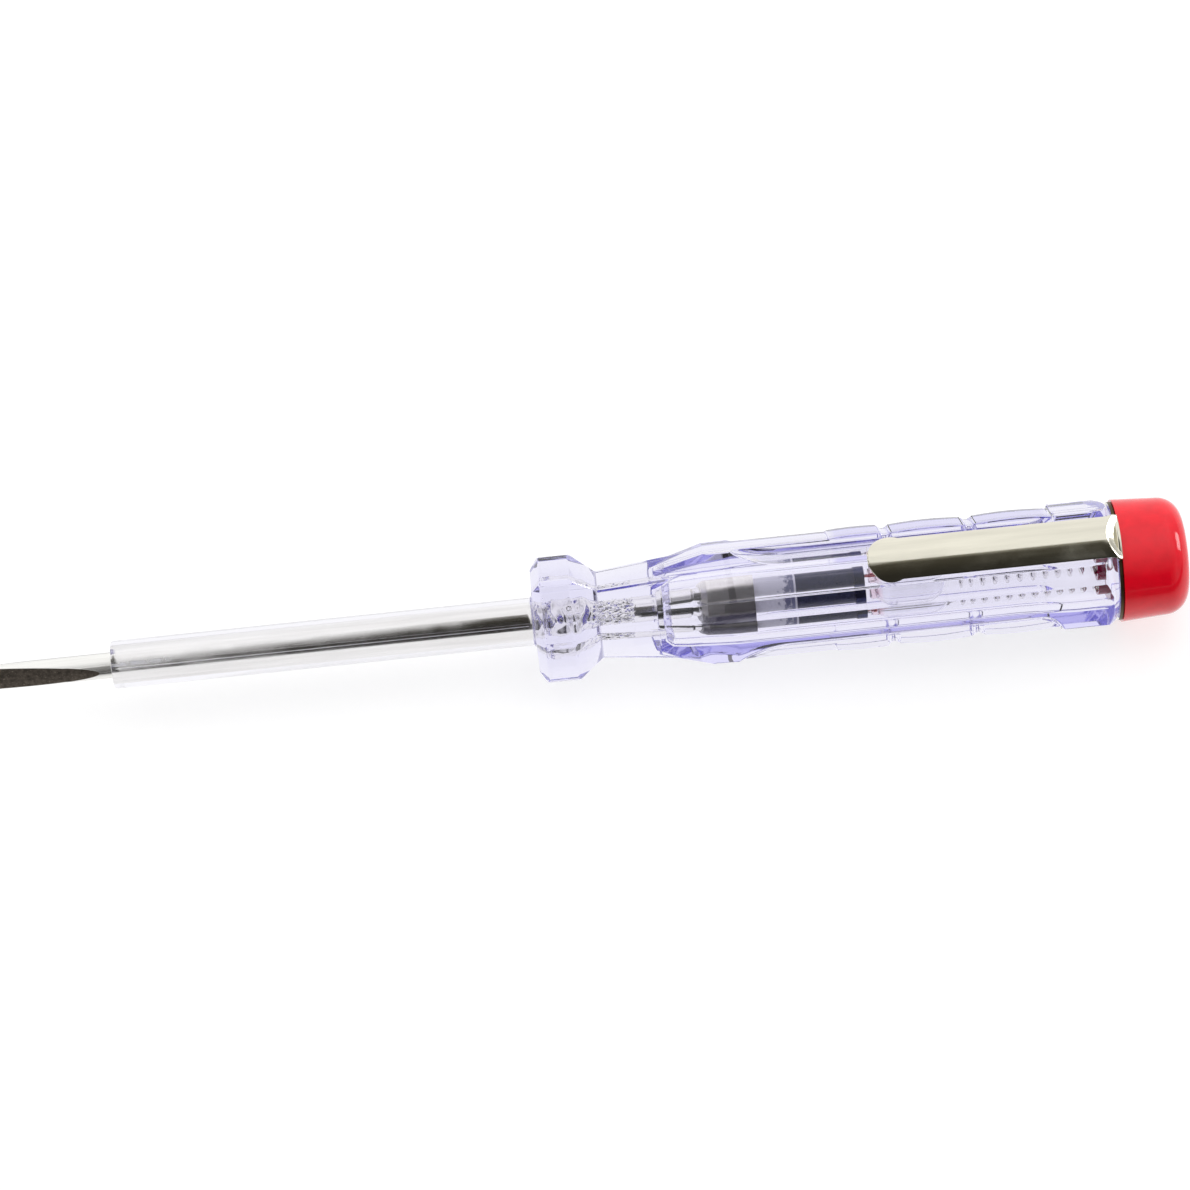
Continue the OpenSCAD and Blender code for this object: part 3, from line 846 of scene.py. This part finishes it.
class TESTER_OT_sleeve(bpy.types.Operator):
    """Makes the clear sleeve, tight on the shank, with a cut front end"""

    bl_idname = "tester.sleeve"
    bl_label = "Blade sleeve"

    def execute(self, context):
        sizes, colours = context.scene.tester_sizes, context.scene.tester_colours
        inner, r = sizes.hidden_wall, SLEEVE_R
        gap, spigot = 0.04 * MM, 2.33 * MM
        profile = [
            (SLEEVE_FRONT, inner), (SLEEVE_FRONT, r - 0.35 * MM),
            (SLEEVE_FRONT + 0.08 * MM, r - 0.1 * MM), (SLEEVE_FRONT + 0.35 * MM, r),
            (SLEEVE_FRONT + 0.7 * MM, r), (-0.5 * MM, r), (-0.2 * MM, r),
            (-gap, r - 0.05 * MM), (-gap, spigot),
            (SLEEVE_BACK - gap, spigot), (SLEEVE_BACK - gap, inner), (SLEEVE_FRONT, inner)]
        piece = turned_piece("sleeve_tube", profile, 192)
        self.seams(piece, r)
        smooth(piece, 35)
        line = self.flash_line(r)
        dress(piece, clear_plastic("Clear sleeve plastic", colours.sleeve_tint, 40.0, 1.5, 0.6),
              moulded_plastic("Milky flash", colours.flash))
        dress(line, *piece.data.materials)
        for face in line.data.polygons:
            face.material_index = 1
        join_to(piece, line)
        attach(piece, "handle")
        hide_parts("blade_sleeve")
        return {"FINISHED"}

    def flash_line(self, r):
        """A fine line of milky flash on the mould's parting, wandering a little and thin in places."""
        bpy.ops.object.select_all(action="DESELECT")
        bpy.ops.mesh.primitive_cylinder_add(
            vertices=8, radius=0.04 * MM, depth=1, end_fill_type="NGON", rotation=(0, math.pi / 2, 0))
        line = named("flash_line")
        front, back = SLEEVE_FRONT + 1.2 * MM, -0.4 * MM
        line.scale = (1, 1, back - front)
        bpy.ops.object.transform_apply(location=True, rotation=True, scale=True)
        enter_edit()
        select_where(line, "EDGE", lambda e: abs(e.verts[0].co.x - e.verts[1].co.x) > MM)
        bpy.ops.mesh.subdivide(number_cuts=240)
        leave_edit()
        middle = (front + back) / 2
        for vert in line.data.vertices:
            along = (vert.co.x + middle) / MM
            swell = 0.75 + 0.9 * noise.noise(Vector((along * 1.3, 2, 5)))
            wander = 0.03 * noise.noise(Vector((along * 0.25, 9, 1))) * MM
            vert.co = (vert.co.x + middle, vert.co.y * swell + wander, vert.co.z * swell + r)
        smooth(line, 60)
        line.data.transform(Matrix.Rotation(math.radians(PARTING_TURN), 4, "X"))
        return line

    def seams(self, piece, r):
        """Raises the two fine seams that the mould's parting leaves along the tube."""
        def on_seam(vert):
            turn = math.degrees(math.atan2(-vert.co.y, vert.co.z)) % 180
            return abs(turn - PARTING_TURN) < 0.6 and off_axis(vert.co) > r - 0.02 * MM

        enter_edit()
        select_where(piece, "VERT", on_seam)
        scale_across(1 + 0.05 * MM / r)
        leave_edit()


class TESTER_OT_blade(bpy.types.Operator):
    """Makes the steel blade: round shank, ground tip, crumpled wings, knurl and rear groove"""

    bl_idname = "tester.blade"
    bl_label = "Blade"

    def execute(self, context):
        sizes, colours = context.scene.tester_sizes, context.scene.tester_colours
        reach = SHANK_END - TIP_X
        bpy.ops.object.select_all(action="DESELECT")
        bpy.ops.mesh.primitive_cylinder_add(
            vertices=96, radius=SHANK_R, depth=reach, location=(TIP_X + reach / 2, 0, 0),
            rotation=(0, math.pi / 2, 0))
        piece = named("blade_steel")
        bpy.ops.object.transform_apply(location=True, rotation=True, scale=True)
        enter_edit()
        self.grind(sizes)
        self.ring_groove(piece)
        leave_edit()
        round_edges(piece, 0.05 * MM, 40)
        enter_edit()
        self.crumple(piece, sizes)
        leave_edit()
        dress(piece, bright_steel(colours.steel), ground_steel(colours.ground_steel))
        ground = sizes.tip_turn
        face_normal = Vector((0, -math.sin(ground), math.cos(ground)))
        for face in piece.data.polygons:
            flat = abs(face.normal.dot(face_normal)) > 0.985
            if flat and face.center.x < TIP_X + sizes.grind_len and abs(face.normal.x) > 0.04:
                face.material_index = 1
        smooth(piece, 30)
        for edge in piece.data.edges:
            spots = [piece.data.vertices[i].co.x for i in edge.vertices]
            if min(spots) > (WINGS[0] - 0.1) * MM and max(spots) < (WINGS[1] + 0.1) * MM:
                edge.use_edge_sharp = False
        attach(piece, "handle")
        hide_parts("blade")
        return {"FINISHED"}

    def grind(self, sizes):
        """Cuts the two ground faces that close on the edge."""
        half = sizes.tip_thickness / 2
        slope = math.atan((SHANK_R - half) / sizes.grind_len)
        turn = Matrix.Rotation(sizes.tip_turn, 3, "X")
        for side in (-1, 1):
            normal = turn @ Vector((-math.sin(slope), 0, side * math.cos(slope)))
            point = turn @ Vector((TIP_X, 0, side * half))
            select_mesh()
            bpy.ops.mesh.bisect(plane_co=point, plane_no=normal, use_fill=True, clear_outer=True)

    def ring_groove(self, piece):
        """Turns the narrow groove near the rear end of the shank."""
        start, end, depth = GROOVE_X * MM, GROOVE_X * MM + 0.35 * MM, 0.25 * MM
        self.rings(start, start + 0.02 * MM, end - 0.02 * MM, end)
        select_where(piece, "VERT", lambda v: start + 0.01 * MM < v.co.x < end - 0.01 * MM)
        scale_across(1 - depth / SHANK_R)

    def rings(self, *stations):
        """Cuts a ring round the shank at each station."""
        for x in stations:
            select_mesh()
            bpy.ops.mesh.bisect(plane_co=(x, 0, 0), plane_no=(1, 0, 0))

    def divide(self, piece, start, end, rows):
        """Cuts a stretch of the shank into rings and returns a test for the points inside it."""
        self.rings(start, end)

        def spans_stretch(edge):
            ends = sorted(v.co.x for v in edge.verts)
            return ends[0] < start + 0.1 * MM < end - 0.1 * MM < ends[1]

        select_where(piece, "EDGE", spans_stretch)
        bpy.ops.mesh.subdivide(number_cuts=rows)
        return lambda x: start + 0.01 * MM < x < end - 0.01 * MM

    def crumple(self, piece, sizes):
        """Shapes the stretch that the handle is moulded on: folded wings in the guard, then a knurl."""
        self.rings((WINGS[0] - 0.4) * MM, (KNURL_END + 0.3) * MM)
        in_wings = self.divide(piece, WINGS[0] * MM, WINGS[1] * MM, 40)
        in_knurl = self.divide(piece, WINGS[1] * MM, KNURL_END * MM, 26)
        mesh = bmesh.from_edit_mesh(piece.data)
        for vert in mesh.verts:
            if in_wings(vert.co.x):
                grown = SHANK_R + self.fold(vert.co / MM) * sizes.wing_height
            elif in_knurl(vert.co.x):
                grown = SHANK_R - self.ridges(vert.co / MM) * sizes.knurl_depth
            else:
                continue
            vert.co.y *= grown / SHANK_R
            vert.co.z *= grown / SHANK_R
        bmesh.update_edit_mesh(piece.data)

    def fold(self, spot):
        """How far the crumpled wings stand out at a point, as a share of their height."""
        wing = min(1.0, (spot.x - WINGS[0]) / 0.5, (WINGS[1] - spot.x) / 1.6)
        crease = 1.5 - abs(noise.noise(spot * 0.5 + Vector((2, 6, 3)))) * 2.2
        return wing * (crease + noise.noise(spot * 1.1 + Vector((4, 1, 7))) * 0.5)

    def ridges(self, spot):
        """Depth of the uneven diamond knurl at a point, from 0 to 1."""
        teeth, twists = 14, 4.5
        turn = math.atan2(spot.z, spot.y)
        run = (spot.x - 2.5) / 9.5 * 2 * math.pi * twists
        wobble = 0.5 * math.sin(5.3 * turn + 11 * spot.x) + 0.4 * math.sin(17 * spot.x)
        ridge = abs(math.sin((teeth * turn + run + wobble) / 2))
        cross = abs(math.sin((teeth * turn - run + wobble) / 2))
        return 1 - min(ridge, cross)


class TESTER_OT_resistor(bpy.types.Operator):
    """Finishes the resistor rod and its two contact cups"""

    bl_idname = "tester.resistor"
    bl_label = "Resistor and cups"

    def execute(self, context):
        colours = context.scene.tester_colours
        lacquer = tuple(2 * c for c in colours.film)
        lacquered = metal(
            "Lacquered cup metal", lacquer, 0.3, 0.08, 1500.0, (1, 0.1, 0.1), 0.01 * MM, 0.6)
        dress(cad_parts["front_contact_cap"], cup_metal(colours.cup))
        dress(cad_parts["rear_contact_cap"], lacquered)
        dress(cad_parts["resistor_rod"], banded_rod(colours.film, colours.ceramic))
        return {"FINISHED"}


class TESTER_OT_lamp(bpy.types.Operator):
    """Makes the glow lamp's glass and finishes its wires"""

    bl_idname = "tester.lamp"
    bl_label = "Glow lamp"

    def execute(self, context):
        sizes, colours = context.scene.tester_sizes, context.scene.tester_colours
        low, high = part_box("lamp_glass")
        r, wall, pinch_r = high.y, sizes.glass_wall, 1.5 * MM
        pinch, front = low.x, low.x + 0.3 * MM
        outer = [(pinch, 0), (pinch, pinch_r - 0.2 * MM), (pinch + 0.2 * MM, pinch_r)]
        outer += self.dome(front + r, r, math.asin(pinch_r / r), math.pi / 2, -1)
        outer += self.dome(high.x - r, r, math.pi / 2, 0, 1)
        cavity_front, cavity_r = front + 2 * wall, r - wall
        inner = self.dome(cavity_front + cavity_r, cavity_r, 0, math.pi / 2, -1)
        inner += self.dome(high.x - wall - cavity_r, cavity_r, math.pi / 2, 0, 1)
        cavity = turned_piece("lamp_cavity", inner, 64)
        enter_edit()
        select_mesh()
        bpy.ops.mesh.flip_normals()
        leave_edit()
        piece = turned_piece("lamp_bulb", outer, 64)
        join_to(piece, cavity)
        smooth(piece, 40)
        dress(piece, lamp_glass_clear())
        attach(piece, "handle")
        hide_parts("lamp_glass")
        wire = lamp_wire_metal(colours.steel, colours.seal)
        dress(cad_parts["lamp_electrode_front"], wire)
        dress(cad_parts["lamp_electrode_return"], wire)
        return {"FINISHED"}

    def dome(self, centre, r, start, end, side):
        """Points of a quarter round, from one angle off the axis to another."""
        count = 10
        turns = [start + (end - start) * i / count for i in range(count + 1)]
        return [(centre + side * r * math.cos(a), r * math.sin(a)) for a in turns]


class TESTER_OT_spring(bpy.types.Operator):
    """Winds the contact spring at its fitted length; the real spring stretches as the cap is unscrewed."""

    bl_idname = "tester.spring"
    bl_label = "Spring"

    def execute(self, context):
        sizes, colours = context.scene.tester_sizes, context.scene.tester_colours
        low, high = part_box("spring")
        lead, curls, steps = sizes.spring_wire, sizes.spring_curls, 28
        run = high.x - low.x - 2 * lead
        bpy.ops.object.select_all(action="DESELECT")
        bpy.ops.mesh.primitive_circle_add(
            vertices=12, radius=sizes.spring_wire / 2, fill_type="NOTHING",
            location=(0, sizes.spring_radius, 0))
        piece = named("contact_spring")
        bpy.ops.object.transform_apply(location=True, rotation=True, scale=True)
        apply_modifier(piece, "SCREW", axis="X", angle=2 * math.pi, screw_offset=run / curls,
                       iterations=curls, steps=steps, render_steps=steps, use_normal_calculate=True)
        enter_edit()
        self.seat_ends(piece, lead)
        self.close_first_curls(piece, run, curls, sizes.close_pitch)
        select_mesh()
        bpy.ops.mesh.normals_make_consistent(inside=False)
        bpy.ops.transform.translate(value=(low.x + lead, 0, 0))
        leave_edit()
        piece.data.transform(Matrix.Rotation(math.radians(90 + WIRE_TURN), 4, "X"))
        smooth(piece, 50)
        dress(piece, metal("Spring wire", colours.steel, 0.11, 0.04, 3000.0, (0.4, 1, 1), 0.004 * MM, 0.3))
        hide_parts("spring")
        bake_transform(piece)
        return {"FINISHED"}

    def seat_ends(self, piece, lead):
        """Bends each end along the axis for one wire's width, and closes it."""
        def station(edge):
            return sum(v.co.x for v in edge.verts) / 2

        def chosen():
            return [v for v in bmesh.from_edit_mesh(piece.data).verts if v.select]

        ends = [station(e) for e in bmesh.from_edit_mesh(piece.data).edges if e.is_boundary]
        middle = sum(ends) / len(ends)
        for side in (-1, 1):
            select_where(piece, "EDGE", lambda e: e.is_boundary and (station(e) - middle) * side > 0)
            ring = chosen()
            centre = sum((v.co for v in ring), Vector()) / len(ring)
            bpy.ops.mesh.extrude_edges_move(
                MESH_OT_extrude_edges_indiv={}, TRANSFORM_OT_translate={"value": (0, 0, 0)})
            outward = Vector((0, centre.y, centre.z)).normalized()
            across = Vector((1, 0, 0)).cross(outward)
            along = Vector((side, 0, 0))
            for vert in chosen():
                off = vert.co - centre
                vert.co = centre + along * lead + outward * off.dot(outward) - across * off.x
            bmesh.update_edit_mesh(piece.data)
            bpy.ops.mesh.edge_face_add()

    def close_first_curls(self, piece, run, curls, close_pitch):
        """Draws the first two curls together and opens the rest evenly."""
        even, close = run / curls, 2
        wide = (run - close * close_pitch) / (curls - close)
        for vert in bmesh.from_edit_mesh(piece.data).verts:
            turn = vert.co.x / even
            if 0 < turn < curls:
                vert.co.x = min(turn, close) * close_pitch + max(turn - close, 0) * wide
        bmesh.update_edit_mesh(piece.data)


class TESTER_OT_clip(bpy.types.Operator):
    """Makes the pocket clip as one stamping: crowned arm, flared bend and ring"""

    bl_idname = "tester.clip"
    bl_label = "Pocket clip"

    def execute(self, context):
        sizes, colours = context.scene.tester_sizes, context.scene.tester_colours
        nickel = metal("Nickel plate", colours.nickel, 0.09, 0.03, 700.0, (0.08, 1, 1), 0.004 * MM, 0.5)
        raw = metal("Cut edge", colours.cut_edge, 0.4, 0.1, 1500.0, EVEN, 0.01 * MM, 0.8)
        ring = copy_of_node("clip_ring", "clip_ring_plate")
        round_edges(ring, 0.06 * MM, 40)
        piece = self.strip(sizes)
        join_to(piece, ring)
        smooth(piece, 30)
        dress(piece, nickel, raw)
        for face in piece.data.polygons:
            on_rim = off_axis(face.center) > 6.5 * MM and abs(face.normal.x) < 0.6
            if on_rim and face.center.x > HANDLE_END - 0.1 * MM and face.center.z < 7.2 * MM:
                face.material_index = 1
        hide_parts("clip_ring", "clip_arm")
        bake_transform(piece)
        return {"FINISHED"}

    def strip(self, sizes):
        """The arm and its bend, from a flat grid laid along the clip's own path."""
        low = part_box("clip_arm")[0]
        top = 8.80 * MM - sizes.clip_sheet / 2
        crown_r = 5 * MM - sizes.clip_sheet / 2
        plane_x = (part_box("clip_ring")[0].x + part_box("clip_ring")[1].x) / 2
        end_r, half, tail = sizes.clip_end / 2, sizes.clip_width / 2, 1.6 * MM
        ear_len, ear_out = 0.9 * MM, 0.28 * MM
        arm_share, bend_share = 0.75, 0.92
        bend_run, bend_drop = 1.3, 0.95
        bpy.ops.object.select_all(action="DESELECT")
        bpy.ops.mesh.primitive_grid_add(x_subdivisions=120, y_subdivisions=18, size=2)
        piece = named("pocket_clip")
        for vert in piece.data.vertices:
            share, t = (vert.co.x + 1) / 2, vert.co.y
            bend_r = (0.22 + 0.95 * (1 - t * t)) * MM
            straight = plane_x - bend_run * bend_r - low.x
            fold = min(max((share - arm_share) / (bend_share - arm_share), 0), 1)
            s = straight * (min(share, arm_share) / arm_share) ** 1.3
            width = half
            if s < 2 * end_r:
                round_end = math.sqrt(max(0.0, end_r ** 2 - (end_r - s) ** 2))
                width = round_end if s < end_r else max(half, round_end)
            y = t * width
            sag = crown_r - math.sqrt(crown_r ** 2 - y ** 2)
            ear = min(max((s - straight + ear_len) / ear_len, 0), 1)
            y += math.copysign(ear_out * ear * ear * t * t, t)
            x = low.x + s + bend_run * bend_r * fold
            z = top - sag - bend_drop * bend_r * fold
            if share > bend_share:
                down = (share - bend_share) / (1 - bend_share)
                z -= tail * down
                y *= 1 - 0.12 * down
            vert.co = (x, y, z)
        pick(piece)
        enter_edit()
        select_mesh()
        bpy.ops.mesh.remove_doubles(threshold=0.005 * MM)
        bpy.ops.mesh.normals_make_consistent(inside=False)
        leave_edit()
        apply_modifier(piece, "SOLIDIFY", thickness=sizes.clip_sheet * 0.96, offset=0.0)
        round_edges(piece, 0.06 * MM, 50)
        piece.data.transform(Matrix.Rotation(math.radians(CLIP_TURN), 4, "X"))
        return piece


class TESTER_OT_cap(bpy.types.Operator):
    """Finishes the red end cap and its touch stud"""

    bl_idname = "tester.cap"
    bl_label = "End cap"

    def execute(self, context):
        colours = context.scene.tester_colours
        red = moulded_plastic("Red plastic", colours.cap)
        tree, shader = own_shader(red)
        # Painted shade: the stem inside the handle is painted a darker, more magenta red than the rest of
        # the cap.
        stem = span(tree, axes_of(tree)["X"], STEM_END * MM, (STEM_END + 0.2) * MM, 1.0, 0.0)
        darker = mixed(tree, stem, feed_of(shader, "Base Color"), rgba(colours.stem))
        fill(tree, shader, {"Base Color": darker})
        dress(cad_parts["end_cap"], red)
        stud = metal("Stud nickel", colours.nickel, 0.2, 0.06, 1200.0, EVEN, 0.005 * MM, 0.8)
        dress(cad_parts["touch_stud"], stud)
        return {"FINISHED"}


class TESTER_PT_pieces(bpy.types.Panel):
    """Lists the tester's pieces and their values"""

    bl_idname = "TESTER_PT_pieces"
    bl_label = "Voltage tester"
    bl_space_type = "VIEW_3D"
    bl_region_type = "UI"
    bl_category = "Tester"

    def draw(self, context):
        column = self.layout.column()
        for operator in OPERATORS:
            column.operator(operator.bl_idname)
        for owner in (context.scene.tester_sizes, context.scene.tester_colours, context.scene.tester_stage):
            box = self.layout.box()
            for key in owner.__annotations__:
                box.prop(owner, key)


OPERATORS = (TESTER_OT_stage, TESTER_OT_handle, TESTER_OT_sleeve, TESTER_OT_blade, TESTER_OT_resistor,
             TESTER_OT_lamp, TESTER_OT_spring, TESTER_OT_clip, TESTER_OT_cap)
CLASSES = (TesterSizes, TesterColours, TesterStage, *OPERATORS, TESTER_PT_pieces)


def register():
    for cls in CLASSES:
        bpy.utils.register_class(cls)
    bpy.types.Scene.tester_sizes = PointerProperty(type=TesterSizes)
    bpy.types.Scene.tester_colours = PointerProperty(type=TesterColours)
    bpy.types.Scene.tester_stage = PointerProperty(type=TesterStage)


def unregister():
    del bpy.types.Scene.tester_stage
    del bpy.types.Scene.tester_colours
    del bpy.types.Scene.tester_sizes
    for cls in reversed(CLASSES):
        bpy.utils.unregister_class(cls)


def main():
    register()
    bpy.ops.tester.stage()
    bpy.ops.tester.handle()
    bpy.ops.tester.sleeve()
    bpy.ops.tester.blade()
    bpy.ops.tester.resistor()
    bpy.ops.tester.lamp()
    bpy.ops.tester.spring()
    bpy.ops.tester.clip()
    bpy.ops.tester.cap()


if __name__ == "__main__":
    main()
